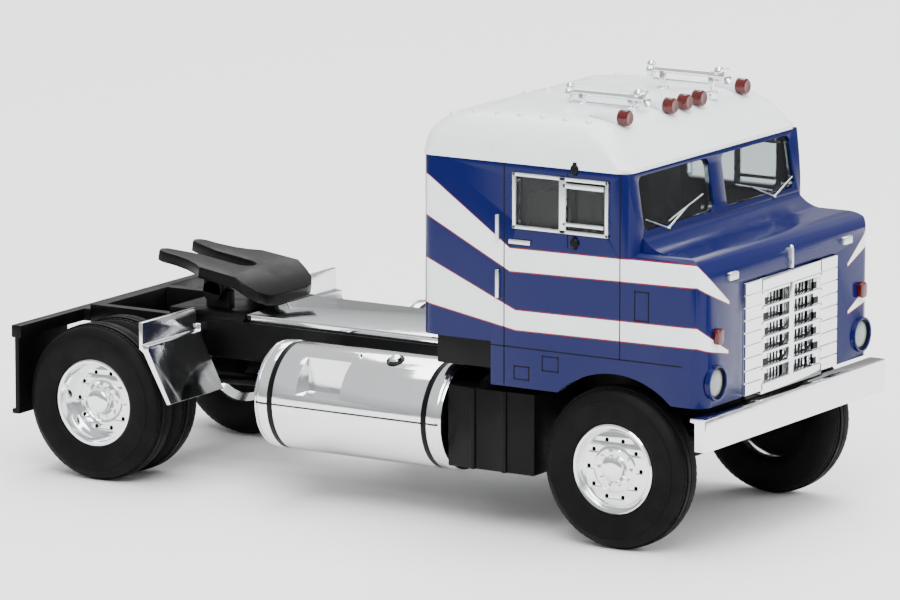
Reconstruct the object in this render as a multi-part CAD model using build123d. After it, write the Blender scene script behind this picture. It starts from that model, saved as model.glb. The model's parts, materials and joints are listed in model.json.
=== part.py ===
from build123d import *
import math
import os

# Snub-nosed cab-over tractor unit, as a plastic scale model about 63 mm long.
# Millimetres. +X points forward, +Y to the driver's left, +Z up.
# The origin is on the ground, under the middle of the model's overall length.
# "right" is the -Y side and "left" is the +Y side.

os.makedirs("parts", exist_ok=True)

# Overall layout
wheelbase = 47.5
front_overhang = 8.6
rear_overhang = 7.4
overall_width = 28.0
rear_axle_x = rear_overhang - (front_overhang + wheelbase + rear_overhang) / 2
front_axle_x = rear_axle_x + wheelbase
bumper_face_x = front_axle_x + front_overhang
tail_face_x = rear_axle_x - rear_overhang
half_width = overall_width / 2
running_gap = 0.06
seat_gap = 0.05

# Wheels
tyre_radius = 6.27
rim_radius = 3.5
tyre_width = 3.1
front_tyre_face_y = 13.4
rear_tyre_face_y = 13.75
twin_gap = 0.35
axle_pin_radius = 0.75
axle_z = tyre_radius

# Frame rails
rail_outer_y = 5.2
rail_web = 0.9
rail_bottom_z = 9.3
rail_top_z = 12.3
rail_rear_x = rear_axle_x - 5.9
rail_front_x = front_axle_x + 6.6

# Cab shell
cab_half_width = 13.0
cab_wall = 0.8
cab_rear_x = front_axle_x - 17.3
skirt_rear_x = front_axle_x - 10.9
windscreen_foot_x = front_axle_x + 1.85
windscreen_rake = 0.75
nose_x = front_axle_x + 7.8
sleeper_bottom_z = 15.0
skirt_bottom_z = 11.65
windscreen_foot_z = 24.05
hood_z = 22.95
seam_z = 28.9
nose_round = 1.9
cowl_length = 2.1
rear_corner = 1.25
pillar_corner = 1.0
nose_corner = 1.3
hood_edge = 1.1
arch_clearance = 1.05
panel_groove = 0.14

# Hood centre panel and its grille
hood_panel_half = 7.3
grille_half_width = 7.1
grille_bottom_z = 11.7
grille_top_z = 20.4
grille_depth = 1.1
grille_proud = 0.25

# Headlamps
headlamp_y = 11.25
headlamp_z = 13.45
headlamp_radius = 1.15
bezel_wall = 0.22
bezel_proud = 0.3
lens_depth = 0.45

# Windows
side_window_rear_x = front_axle_x - 8.7
side_window_front_x = front_axle_x - 0.7
side_window_bottom_z = 24.15
side_window_top_z = 28.05
side_window_post_x = front_axle_x - 4.3
screen_inner_y = 0.95
screen_outer_y = 11.55
screen_bottom_z = 24.45
screen_top_z = 28.55
glass_inset = 0.15
glass_flange = 0.4
glass_flange_depth = 0.3

# Roof
roof_rise = 3.4
roof_wall = 0.8
roof_top_z = seam_z + roof_rise
roof_lamp_radius = 0.5

# Fuel tanks and battery boxes
tank_radius = 4.25
tank_z = 8.17
tank_rear_x = rear_axle_x + 15.7
tank_front_x = rear_axle_x + 32.5
strap_width = 0.5
strap_proud = 0.12
strap_inset = 1.35
battery_front_x = rear_axle_x + 40.5
battery_bottom_z = 4.9
battery_top_z = 11.2
battery_face_y = 13.0

# Deck plate
deck_rear_x = rear_axle_x + 8.9
deck_top_z = rail_top_z + 0.6
deck_half_width = 4.8

# Coupling plate
coupling_x = rear_axle_x + 5.2
coupling_z = 14.3
coupling_plate_top = 1.75
coupling_plate_thickness = 0.9
coupling_rest_tilt = 8.0
king_pin_seat_radius = 1.0
pivot_pin_radius = 0.45

# Bumper
bumper_bottom_z = 8.6
bumper_top_z = 11.15
bumper_thickness = 0.5
bumper_flange = 1.4


# Working shapes
def block(x0, x1, y0, y1, z0, z1):
    return Pos((x0 + x1) / 2, (y0 + y1) / 2, (z0 + z1) / 2) * Box(x1 - x0, y1 - y0, z1 - z0)


def side_prism(outline, y_low, y_high):
    """Extrude an outline of (x, z) edges across the model."""
    plane = Plane.XZ.offset(-y_high)
    return extrude(plane * make_face(outline), amount=y_high - y_low)


def plan_prism(outline, z_low, z_high):
    """Extrude an outline of (x, y) edges upwards."""
    return extrude(Plane.XY.offset(z_low) * make_face(outline), amount=z_high - z_low)


def front_prism(outline, x_low, x_high):
    """Extrude an outline of (y, z) edges forward."""
    return extrude(Plane.YZ.offset(x_low) * make_face(outline), amount=x_high - x_low)


def closed(*points):
    return Polyline(*points, close=True)


def rod(start, end, radius):
    start, end = Vector(*start), Vector(*end)
    return Solid.make_cylinder(radius, (end - start).length, Plane(start, z_dir=end - start))


def cross_rod(x, z, radius, y_low, y_high):
    return rod((x, y_low, z), (x, y_high, z), radius)


def both_sides(shape):
    return [shape, mirror(shape, Plane.XZ)]


def rounded_plan(x0, x1, half, r_rear, r_front):
    """Plan outline with its own corner radius at the rear and at the front."""
    def corner(cx, cy, r, a0):
        points = [(cx + r * math.cos(math.radians(a)), cy + r * math.sin(math.radians(a)))
                  for a in (a0, a0 + 45, a0 + 90)]
        return ThreePointArc(*points)
    return [
        Line((x0 + r_rear, -half), (x1 - r_front, -half)),
        corner(x1 - r_front, -half + r_front, r_front, -90),
        Line((x1, -half + r_front), (x1, half - r_front)),
        corner(x1 - r_front, half - r_front, r_front, 0),
        Line((x1 - r_front, half), (x0 + r_rear, half)),
        corner(x0 + r_rear, half - r_rear, r_rear, 90),
        Line((x0, half - r_rear), (x0, -half + r_rear)),
        corner(x0 + r_rear, -half + r_rear, r_rear, 180),
    ]


def save(name, *shapes):
    solids = [s for shape in shapes for s in shape.solids()]
    export_step(solids[0] if len(solids) == 1 else Compound(children=solids), f"parts/{name}.step")


# Cab shell
def cab_block(inset, lowest, highest):
    """The cab's outer form, or the hollow inside it when inset is the wall."""
    rear, nose = cab_rear_x + inset, nose_x - inset
    rake = windscreen_rake / (seam_z - windscreen_foot_z)
    foot_x, foot_z = windscreen_foot_x - inset * (1 - rake), windscreen_foot_z - inset
    top_z = seam_z + inset
    top_x = foot_x - rake * (top_z - foot_z)
    half, hood = cab_half_width - inset, hood_z - inset
    house_side = closed((rear, lowest), (foot_x, lowest), (foot_x, foot_z),
                        (top_x, top_z), (rear, top_z))
    house = side_prism(house_side, -half, half) & plan_prism(
        rounded_plan(rear, foot_x, half, rear_corner - inset * 0.5, pillar_corner - inset * 0.5),
        lowest, highest)
    r = nose_round - inset
    nose_side = [
        Polyline((rear + 8, hood), (rear + 8, lowest), (nose, lowest), (nose, hood - r)),
        ThreePointArc((nose, hood - r), (nose - r * (1 - math.sqrt(0.5)), hood - r * (1 - math.sqrt(0.5))),
                      (nose - r, hood)),
        Line((nose - r, hood), (foot_x + cowl_length, hood)),
        ThreePointArc((foot_x + cowl_length, hood), (foot_x + cowl_length * 0.42, hood + 0.35),
                      (foot_x, foot_z)),
        Polyline((foot_x, foot_z), (rear + 8, foot_z), (rear + 8, hood)),
    ]
    e = hood_edge - inset * 0.5
    high = foot_z
    s = e * (1 - math.sqrt(0.5))
    nose_front = [
        Polyline((half, hood - e), (half, lowest), (-half, lowest), (-half, hood - e)),
        ThreePointArc((-half, hood - e), (-half + s, hood - s), (-half + e, hood)),
        Polyline((-half + e, hood), (-half + e, high), (half - e, high), (half - e, hood)),
        ThreePointArc((half - e, hood), (half - s, hood - s), (half, hood - e)),
    ]
    nose_body = side_prism(nose_side, -half, half) & front_prism(nose_front, rear + 8, nose) & plan_prism(
        rounded_plan(rear + 8, nose, half, 0.2, nose_corner - inset * 0.5), lowest, high)
    return house + nose_body


def side_opening(shrink=0.0):
    outline = Rectangle(side_window_front_x - side_window_rear_x - 2 * shrink,
                        side_window_top_z - side_window_bottom_z - 2 * shrink)
    face = fillet(outline.vertices(), 0.35)
    centre = Plane(((side_window_front_x + side_window_rear_x) / 2, 0,
                    (side_window_top_z + side_window_bottom_z) / 2), x_dir=(1, 0, 0), z_dir=(0, -1, 0))
    return centre, face


def screen_plane():
    rise = seam_z - windscreen_foot_z
    lean = math.degrees(math.atan2(windscreen_rake, rise))
    mid_z = (screen_bottom_z + screen_top_z) / 2
    mid_x = windscreen_foot_x - windscreen_rake * (mid_z - windscreen_foot_z) / rise
    return Plane((mid_x, 0, mid_z), x_dir=(0, 1, 0),
                 z_dir=(math.cos(math.radians(lean)), 0, math.sin(math.radians(lean))))


def screen_face(grow=0.0):
    outline = Rectangle(screen_outer_y - screen_inner_y + 2 * grow, screen_top_z - screen_bottom_z + 2 * grow)
    return Pos((screen_inner_y + screen_outer_y) / 2, 0) * fillet(outline.vertices(), 0.6)


def make_cab_body():
    shell = cab_block(0, skirt_bottom_z, seam_z)
    shell -= cab_block(cab_wall, skirt_bottom_z - 1, seam_z + 1)
    shell -= block(cab_rear_x - 1, skirt_rear_x, -half_width, half_width, skirt_bottom_z - 1, sleeper_bottom_z)
    shell -= cross_rod(front_axle_x, axle_z, tyre_radius + arch_clearance, -half_width, half_width)
    centre, face = side_opening()
    shell -= extrude(centre * face, amount=half_width, both=True)
    screen = screen_plane()
    for side in (1, -1):
        pane = screen_face() if side == 1 else mirror(screen_face(), Plane.YZ)
        shell -= extrude(screen * pane, amount=cab_wall * 2, both=True)
    shell -= block(nose_x - 2, nose_x + 1, -grille_half_width - seat_gap, grille_half_width + seat_gap,
                   skirt_bottom_z - 1, grille_top_z + seat_gap)
    for side in (-1, 1):
        y = side * headlamp_y
        shell += rod((nose_x - 0.1, y, headlamp_z), (nose_x + bezel_proud, y, headlamp_z),
                     headlamp_radius + bezel_wall)
        shell -= rod((nose_x - lens_depth, y, headlamp_z), (nose_x + 1, y, headlamp_z),
                     headlamp_radius + seat_gap)
    return shell


def roof_lamp_rods(radius, longer):
    lamp_x = windscreen_foot_x - windscreen_rake - 2.4
    z = roof_top_z - 0.1
    return [rod((lamp_x - 0.7, y, z), (lamp_x + 0.7 + longer, y, z), radius) for y in (-9.0, -2.2, 0.0, 2.2, 9.0)]


def make_roof():
    # height over the seam, inset at the sides and rear, setback at the front, corner radius
    sections = [
        (0.0, 0.0, 0.0, 1.25),
        (1.0, 0.05, 0.75, 1.4),
        (2.2, 0.55, 1.8, 1.8),
        (3.0, 1.35, 2.7, 2.1),
        (roof_rise, 2.4, 3.6, 2.2),
    ]
    top_x = windscreen_foot_x - windscreen_rake

    def roof_form(inset, drop):
        faces = []
        for height, side_in, front_in, corner in sections:
            edges = rounded_plan(cab_rear_x + side_in + inset, top_x - front_in - inset,
                                 cab_half_width - side_in - inset, corner, corner)
            faces.append(Plane.XY.offset(seam_z + height - drop) * make_face(edges))
        return loft(faces)

    roof = roof_form(0, 0) - roof_form(roof_wall, roof_wall * 0.9)
    for lamp in roof_lamp_rods(roof_lamp_radius + seat_gap, 0.2):
        roof -= lamp
    return roof


def make_side_glass():
    centre, face = side_opening(seat_gap)
    plug = extrude(Plane(centre.origin + Vector(0, -cab_half_width + glass_inset, 0),
                         x_dir=centre.x_dir, z_dir=centre.z_dir) * face, amount=-(cab_wall - glass_inset))
    _, rim = side_opening(-glass_flange)
    plate = extrude(Plane(centre.origin + Vector(0, -cab_half_width + cab_wall, 0),
                          x_dir=centre.x_dir, z_dir=centre.z_dir) * rim, amount=-glass_flange_depth)
    return both_sides(plug + plate)


def make_windscreen():
    screen = screen_plane()
    plug = extrude(screen.offset(-glass_inset) * screen_face(-seat_gap), amount=-(cab_wall - glass_inset))
    plate = extrude(screen.offset(-cab_wall) * screen_face(0.25), amount=-glass_flange_depth)
    return both_sides(plug + plate)


def make_window_frames():
    centre, hole = side_opening(0.3)
    _, outer = side_opening(-0.22)
    face = outer - hole
    post_x = side_window_post_x - centre.origin.X
    face += Pos(post_x, 0) * Rectangle(0.55, side_window_top_z - side_window_bottom_z - 0.1)
    plane = Plane(centre.origin + Vector(0, -cab_half_width, 0), x_dir=centre.x_dir, z_dir=centre.z_dir)
    return both_sides(extrude(plane * face, amount=0.15))


# Things inside the cab
floor_top_z = 15.0


def make_cab_floor():
    inner = cab_half_width - cab_wall - 0.2
    rear = block(cab_rear_x + cab_wall + 0.2, front_axle_x - 7.2, -inner, inner, rail_top_z + 0.35, floor_top_z)
    rear += block(cab_rear_x + cab_wall + 0.2, front_axle_x - 7.2, -rail_outer_y, rail_outer_y,
                  rail_top_z, rail_top_z + 0.35)
    front = block(front_axle_x - 7.2, nose_x - 2.2, -inner, inner, 13.7, floor_top_z)
    tunnel = block(front_axle_x - 7.2, rail_front_x, -4.9, 4.9, rail_top_z, 13.7)
    hump = block(front_axle_x - 3.2, nose_x - 2.2, -2.6, 2.6, floor_top_z, 18.5)
    return rear + front + tunnel + hump


def make_seats():
    seats = []
    for y in (-7.4, 7.4):
        x = front_axle_x - 6.2
        base = block(x - 2.2, x + 2.2, y - 2.2, y + 2.2, floor_top_z, 18.2)
        cushion = fillet(block(x - 2.4, x + 2.6, y - 2.6, y + 2.6, 18.2, 19.7).edges(), 0.45)
        back = side_prism(closed((x - 2.6, 19.0), (x - 1.2, 19.0), (x - 2.0, 26.2), (x - 3.1, 26.2)),
                          y - 2.5, y + 2.5)
        seats.append(base + cushion + back)
    return seats


def make_bunk():
    rear = cab_rear_x + cab_wall + 0.2
    inner = cab_half_width - cab_wall - 0.3
    return fillet(block(rear, rear + 5.0, -inner, inner, floor_top_z, 19.6).edges(), 0.5)


def make_dashboard():
    x = windscreen_foot_x - cab_wall
    outline = closed((x - 2.9, 19.6), (x - 0.6, 19.6), (x - 0.6, 22.4), (x - 0.9, 23.4), (x - 2.3, 23.2))
    top = side_prism(outline, -11.6, 11.6)
    foot = block(x - 1.6, x - 0.7, -2.2, 2.2, 18.5, 19.6)
    return top + foot


def make_steering_wheel():
    x, y, z = windscreen_foot_x - 4.4, 7.4, 22.6
    plane = Plane((x, y, z), z_dir=(-0.55, 0, 0.84))
    ring = plane * Torus(1.9, 0.18)
    spokes = plane * Box(3.6, 0.3, 0.2) + plane * Box(0.3, 3.6, 0.2) + plane * Cylinder(0.45, 0.4)
    end = plane.origin + Vector(0.55, 0, -0.84) * 1.5
    column = rod(tuple(plane.origin), tuple(end), 0.25)
    return ring + spokes + column


# Front end
def make_grille():
    front = nose_x + grille_proud
    plate = block(front - grille_depth, front, -grille_half_width, grille_half_width,
                  grille_bottom_z, grille_top_z)
    rows, sill, lintel = 6, 0.55, 1.35
    pitch = (grille_top_z - lintel - grille_bottom_z - sill) / rows
    # outer end of each row's openings, top row first
    reach = [3.6, 4.1, 4.3, 4.3, 4.1, 3.6]
    for row in range(rows):
        z0 = grille_top_z - lintel - (row + 1) * pitch + 0.22
        for side in (-1, 1):
            y0, y1 = sorted((side * 0.4, side * reach[row]))
            plate -= block(front - 0.75, front + 0.1, y0, y1, z0, z0 + pitch - 0.32)
    for line in range(7):
        z0 = grille_top_z - 0.9 - line * pitch
        for side in (-1, 1):
            y0, y1 = sorted((side * 4.75, side * (grille_half_width + 0.1)))
            plate -= block(front - 0.12, front + 0.1, y0, y1, z0 - 0.07, z0 + 0.07)
    return plate


def make_bumper():
    inner = bumper_face_x - bumper_flange
    face = block(bumper_face_x - bumper_thickness, bumper_face_x, -half_width, half_width,
                 bumper_bottom_z, bumper_top_z)
    top = block(inner, bumper_face_x, -half_width, half_width, bumper_top_z - 0.35, bumper_top_z)
    ends = [block(bumper_face_x - 1.0, bumper_face_x, y - 0.25, y + 0.25, bumper_bottom_z, bumper_top_z)
            for y in (-half_width + 0.25, half_width - 0.25)]
    horns = [block(rail_front_x, bumper_face_x - bumper_thickness, y - 0.7, y + 0.7,
                   bumper_bottom_z + 0.8, bumper_top_z - 0.35) for y in (-4.6, 4.6)]
    return face + top + ends + horns


def make_headlamps():
    lens = rod((nose_x - lens_depth, -headlamp_y, headlamp_z),
               (nose_x + bezel_proud - 0.12, -headlamp_y, headlamp_z), headlamp_radius)
    return both_sides(lens)


def make_corner_lamps():
    lens = block(nose_x, nose_x + 0.45, -11.6, -10.7, 16.4, 17.6)
    return both_sides(fillet(lens.edges().filter_by(Axis.X), 0.3))


def make_turn_lamps():
    lens = block(nose_x, nose_x + 0.35, -9.6, -8.0, 20.15, 20.75)
    return both_sides(lens)


# Things on the roof

def make_roof_lamps():
    return roof_lamp_rods(roof_lamp_radius, 0.0)


def make_horn(y, rear_x, length, height):
    front_x = rear_x + length
    z = roof_top_z + height
    horn = rod((rear_x, y, z), (front_x, y, z), 0.22)
    horn += Pos(rear_x, y, z) * Sphere(0.45)
    horn += Plane((front_x, y, z), z_dir=(1, 0, 0)) * Cone(0.3, 0.75, 1.0)
    for x in (rear_x + 0.9, front_x - 0.9):
        horn += block(x - 0.2, x + 0.2, y - 0.3, y + 0.3, roof_top_z, z)
    return horn


# Small trim on the sides
def make_side_handles():
    y = -cab_half_width
    parts = []
    for z0, z1 in ((22.95, 24.9), (18.45, 20.65)):
        x = front_axle_x - 10.2
        parts.append(block(x - 0.15, x + 0.15, y - 0.3, y, z0, z1))
    parts.append(block(front_axle_x - 9.2, front_axle_x - 7.3, y - 0.25, y, 22.75, 23.1))
    return [s for part in parts for s in both_sides(part)]


# Chassis
def make_frame():
    solids = []
    inner = rail_outer_y - rail_web
    for side in (-1, 1):
        y0, y1 = sorted((side * inner, side * rail_outer_y))
        solids.append(block(rail_rear_x, rail_front_x, y0, y1, rail_bottom_z, rail_top_z))
    members = [rail_rear_x + 0.5, rear_axle_x + 2.2, rear_axle_x + 15.0, rear_axle_x + 29.5, rail_front_x - 0.6]
    frame = solids[0] + solids[1]
    for x in members:
        frame += block(x - 0.5, x + 0.5, -inner, inner, rail_bottom_z + 0.5, rail_top_z)
    return frame


def make_engine():
    return block(front_axle_x - 3.2, front_axle_x + 5.0, -3.2, 3.2, 7.9, rail_top_z)


def make_drive_shaft():
    return rod((rear_axle_x + 2.1, 0, axle_z + 0.1), (front_axle_x - 3.2, 0, 8.0), 0.5)


def make_rear_axle():
    end_y = rear_tyre_face_y - 2 * tyre_width - twin_gap - 0.2
    tube = cross_rod(rear_axle_x, axle_z, axle_pin_radius + 0.45, -end_y, end_y)
    pumpkin = Pos(rear_axle_x, 0, axle_z) * Sphere(2.0)
    pads = [block(rear_axle_x - 1.0, rear_axle_x + 1.0, y - 0.7, y + 0.7, axle_z, axle_z + 1.6)
            for y in (-4.7, 4.7)]
    return tube + pumpkin + pads - cross_rod(rear_axle_x, axle_z, axle_pin_radius + running_gap,
                                             -half_width, half_width)


def make_spring(axle_x, seat_z, half_length):
    outline = [
        Line((axle_x - half_length, rail_bottom_z), (axle_x - half_length, rail_bottom_z - 0.4)),
        ThreePointArc((axle_x - half_length, rail_bottom_z - 0.4), (axle_x, seat_z),
                      (axle_x + half_length, rail_bottom_z - 0.4)),
        Line((axle_x + half_length, rail_bottom_z - 0.4), (axle_x + half_length, rail_bottom_z)),
        ThreePointArc((axle_x + half_length, rail_bottom_z), (axle_x, seat_z + 0.7),
                      (axle_x - half_length, rail_bottom_z)),
    ]
    return both_sides(side_prism(outline, 4.3, 5.1))


def make_front_axle():
    end_y = front_tyre_face_y - tyre_width - 0.3
    beam = cross_rod(front_axle_x, axle_z, axle_pin_radius + 0.4, -end_y, end_y)
    pads = [block(front_axle_x - 0.9, front_axle_x + 0.9, y - 0.6, y + 0.6, axle_z, axle_z + 1.6)
            for y in (-4.7, 4.7)]
    return beam + pads - cross_rod(front_axle_x, axle_z, axle_pin_radius + running_gap,
                                   -half_width, half_width)


def make_deck():
    return block(deck_rear_x, cab_rear_x + cab_wall, -deck_half_width, deck_half_width, rail_top_z, deck_top_z)


def make_tank():
    y = -half_width + tank_radius
    tank = rod((tank_rear_x, y, tank_z), (tank_front_x, y, tank_z), tank_radius)
    tank = fillet(tank.edges(), 0.4)
    for x in (tank_rear_x + strap_inset, tank_front_x - strap_inset):
        ring = rod((x - strap_width / 2, y, tank_z), (x + strap_width / 2, y, tank_z), tank_radius + 1)
        tank -= ring - rod((x - strap_width, y, tank_z), (x + strap_width, y, tank_z), tank_radius - 0.2)
    step_x = tank_rear_x + 5.7
    tank -= block(step_x - 2.0, step_x + 2.0, -half_width - 1, y - 2.2, tank_z + 0.95, tank_z + 3.6)
    tank -= block(tank_rear_x - 1, tank_front_x + 1, -half_width - 1, -half_width + 0.12,
                  tank_z - 0.06, tank_z + 0.06)
    return tank


def make_straps():
    y = -half_width + tank_radius
    bands = []
    for x in (tank_rear_x + strap_inset, tank_front_x - strap_inset):
        outer = rod((x - strap_width / 2, y, tank_z), (x + strap_width / 2, y, tank_z), tank_radius - 0.05)
        inner = rod((x - strap_width, y, tank_z), (x + strap_width, y, tank_z), tank_radius - 0.2)
        bands.append(outer - inner)
    return bands


def make_battery_box():
    body = block(tank_front_x + 0.3, battery_front_x, -battery_face_y, -rail_outer_y,
                 battery_bottom_z, battery_top_z)
    for x in (tank_front_x + 2.6, tank_front_x + 5.4):
        body += block(x - 0.2, x + 0.2, -battery_face_y - 0.25, -battery_face_y, battery_bottom_z, battery_top_z)
    return body


def make_quarter_fender():
    x = rear_axle_x
    t = 0.35
    outline = closed((x + 4.85, 13.35), (x + 4.85, 11.2), (x + 5.3, 10.9), (x + 7.45, 7.0),
                     (x + 7.45 + t, 7.1), (x + 5.75, 11.15), (x + 5.75, 11.55), (x + 4.85 + t, 11.6),
                     (x + 4.85 + t, 13.35))
    plate = side_prism(outline, -half_width, -6.5)
    hanger = block(x + 4.85, x + 5.6, -6.5, -rail_outer_y, 11.3, 12.1)
    return plate + hanger


def make_tail():
    x0 = tail_face_x
    bar = block(x0, x0 + 0.9, -half_width, half_width, 10.9, 11.9)
    flaps = [block(x0 + 0.3, x0 + 0.7, y - 3.4, y + 3.4, 4.9, 10.9) for y in (-half_width + 3.4, half_width - 3.4)]
    feet = [block(x0, x0 + 0.7, y - 3.4, y + 3.4, 4.75, 5.15) for y in (-half_width + 3.4, half_width - 3.4)]
    ties = [block(x0 + 0.9, rail_rear_x, y - 0.45, y + 0.45, 10.9, 11.9) for y in (-4.75, 4.75)]
    return bar + flaps + feet + ties


# Coupling
def make_coupling_base():
    plate = block(coupling_x - 3.4, deck_rear_x - 0.1, -rail_outer_y, rail_outer_y, rail_top_z, rail_top_z + 0.6)
    ears = [block(coupling_x - 1.1, coupling_x + 1.1, y - 0.4, y + 0.4, rail_top_z + 0.6, coupling_z)
            + cross_rod(coupling_x, coupling_z, 0.85, y - 0.4, y + 0.4) for y in (-3.0, 3.0)]
    bore = cross_rod(coupling_x, coupling_z, pivot_pin_radius + running_gap, -half_width, half_width)
    return plate + [ear - bore for ear in ears]


def make_coupling_plate():
    top = coupling_plate_top
    low = top - coupling_plate_thickness
    horn_x, horn_y, tip = -5.7, 2.4, 0.75
    body_half, front_x = 4.6, 4.9
    outline = [
        Polyline((horn_x, -horn_y - tip), (-2.6, -3.6), (-1.2, -body_half), (2.2, -body_half)),
        ThreePointArc((2.2, -body_half), (front_x, 0), (2.2, body_half)),
        Polyline((2.2, body_half), (-1.2, body_half), (-2.6, 3.6), (horn_x, horn_y + tip)),
        ThreePointArc((horn_x, horn_y + tip), (horn_x - tip, horn_y), (horn_x, horn_y - tip)),
        Polyline((horn_x, horn_y - tip), (-3.4, king_pin_seat_radius), (0, king_pin_seat_radius)),
        ThreePointArc((0, king_pin_seat_radius), (king_pin_seat_radius, 0), (0, -king_pin_seat_radius)),
        Polyline((0, -king_pin_seat_radius), (-3.4, -king_pin_seat_radius), (horn_x, -horn_y + tip)),
        ThreePointArc((horn_x, -horn_y + tip), (horn_x - tip, -horn_y), (horn_x, -horn_y - tip)),
    ]
    plate = plan_prism(outline, low, top)
    lugs = [block(-0.85, 0.85, y - 0.35, y + 0.35, 0, low)
            + cross_rod(0, 0, 0.85, y - 0.35, y + 0.35) for y in (-3.9, 3.9)]
    pins = [cross_rod(0, 0, pivot_pin_radius, 2.65, 3.9), cross_rod(0, 0, pivot_pin_radius, -3.9, -2.65)]
    shape = plate + lugs + pins
    return Pos(coupling_x, 0, coupling_z) * Rot(0, coupling_rest_tilt, 0) * shape


# Wheels
def make_tyre(outer_y, width):
    """A tyre whose outer face is at outer_y, on the left side, at the origin."""
    r, inner = tyre_radius, rim_radius
    shoulder = 0.55
    outline = [
        Polyline((outer_y - 0.35, inner), (outer_y - 0.05, inner + 0.5), (outer_y, inner + 1.3),
                 (outer_y - 0.2, r - shoulder), (outer_y - 0.2 - shoulder, r),
                 (outer_y - width + 0.2 + shoulder, r), (outer_y - width + 0.2, r - shoulder),
                 (outer_y - width, inner + 1.3), (outer_y - width + 0.05, inner + 0.5),
                 (outer_y - width + 0.35, inner), (outer_y - 0.35, inner)),
    ]
    return revolve(Plane.YZ * make_face(outline), axis=Axis.Y)


def make_rim(outer_y, width, dish):
    """A rim whose edge stands at outer_y; dish is how far its centre lies inside the edge."""
    r = rim_radius
    edge = outer_y - 0.35
    outline = [
        Polyline((edge - width + 0.7, 0), (edge - width + 0.7, r), (edge, r), (edge, r - 0.35),
                 (edge - 0.8, r - 0.7), (edge - dish, r - 1.1), (edge - dish, 1.3), (edge - dish + 0.7, 1.1),
                 (edge - dish + 0.9, 0), (edge - width + 0.7, 0)),
    ]
    return revolve(Plane.YZ * make_face(outline), axis=Axis.Y)


def wheel_set(axle_x, faces, dish):
    place = Pos(axle_x, 0, axle_z)
    tyres = [t for face in faces for t in both_sides(place * make_tyre(face, tyre_width))]
    bore = cross_rod(axle_x, axle_z, axle_pin_radius, -half_width, half_width)
    rims = []
    for index, face in enumerate(faces):
        rim = make_rim(face, tyre_width, dish if index == 0 else 1.0)
        rims += both_sides(place * rim)
    return tyres, rims, bore


# Write each piece
save("cab_body", make_cab_body())
save("cab_roof", make_roof())
save("windscreen", *make_windscreen())
save("side_glass", *make_side_glass())
save("window_frames", *make_window_frames())
save("cab_floor", make_cab_floor())
save("seats", *make_seats())
save("bunk", make_bunk())
save("dashboard", make_dashboard())
save("steering_wheel", make_steering_wheel())
save("grille", make_grille())
save("front_bumper", make_bumper())
save("headlamps", *make_headlamps())
save("corner_lamps", *make_corner_lamps())
save("turn_lamps", *make_turn_lamps())
save("roof_lamps", *make_roof_lamps())
save("air_horn_right", make_horn(-4.5, front_axle_x - 8.9, 6.2, 0.9))
save("air_horn_left", make_horn(5.0, front_axle_x - 7.3, 6.2, 1.5))
save("side_handles", *make_side_handles())
save("chassis_frame", make_frame())
save("engine_block", make_engine())
save("drive_shaft", make_drive_shaft())
save("rear_axle_housing", make_rear_axle())
save("rear_springs", *make_spring(rear_axle_x, axle_z + 1.6, 5.2))
save("front_axle_beam", make_front_axle())
save("front_springs", *make_spring(front_axle_x, axle_z + 1.6, 4.6))
save("deck_plate", make_deck())
for side, sign in (("right", 1), ("left", -1)):
    def place(shapes):
        return shapes if sign == 1 else [mirror(s, Plane.XZ) for s in shapes]
    save(f"fuel_tank_{side}", *place([make_tank()]))
    save(f"tank_straps_{side}", *place(make_straps()))
    save(f"battery_box_{side}", *place([make_battery_box()]))
    save(f"quarter_fender_{side}", *place([make_quarter_fender()]))
save("rear_mudflaps", make_tail())
save("coupling_base", make_coupling_base())
save("coupling_plate", make_coupling_plate())

front_tyres, front_rims, front_bore = wheel_set(front_axle_x, [front_tyre_face_y], 0.2)
rear_tyres, rear_rims, rear_bore = wheel_set(
    rear_axle_x, [rear_tyre_face_y, rear_tyre_face_y - tyre_width - twin_gap], 1.7)
save("front_tyres", *front_tyres)
save("front_rims", *[rim - front_bore for rim in front_rims])
save("front_axle_pin", cross_rod(front_axle_x, axle_z, axle_pin_radius, -half_width + 1.6, half_width - 1.6))
save("rear_tyres", *rear_tyres)
save("rear_rims", *[rim - rear_bore for rim in rear_rims])
save("rear_axle_pin", cross_rod(rear_axle_x, axle_z, axle_pin_radius, -half_width + 2.6, half_width - 2.6))
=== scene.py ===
import json
import math

import bmesh
import bpy
from bpy.props import FloatProperty, FloatVectorProperty, IntProperty, PointerProperty
from mathutils import Matrix, Vector
from mathutils.bvhtree import BVHTree


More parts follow.
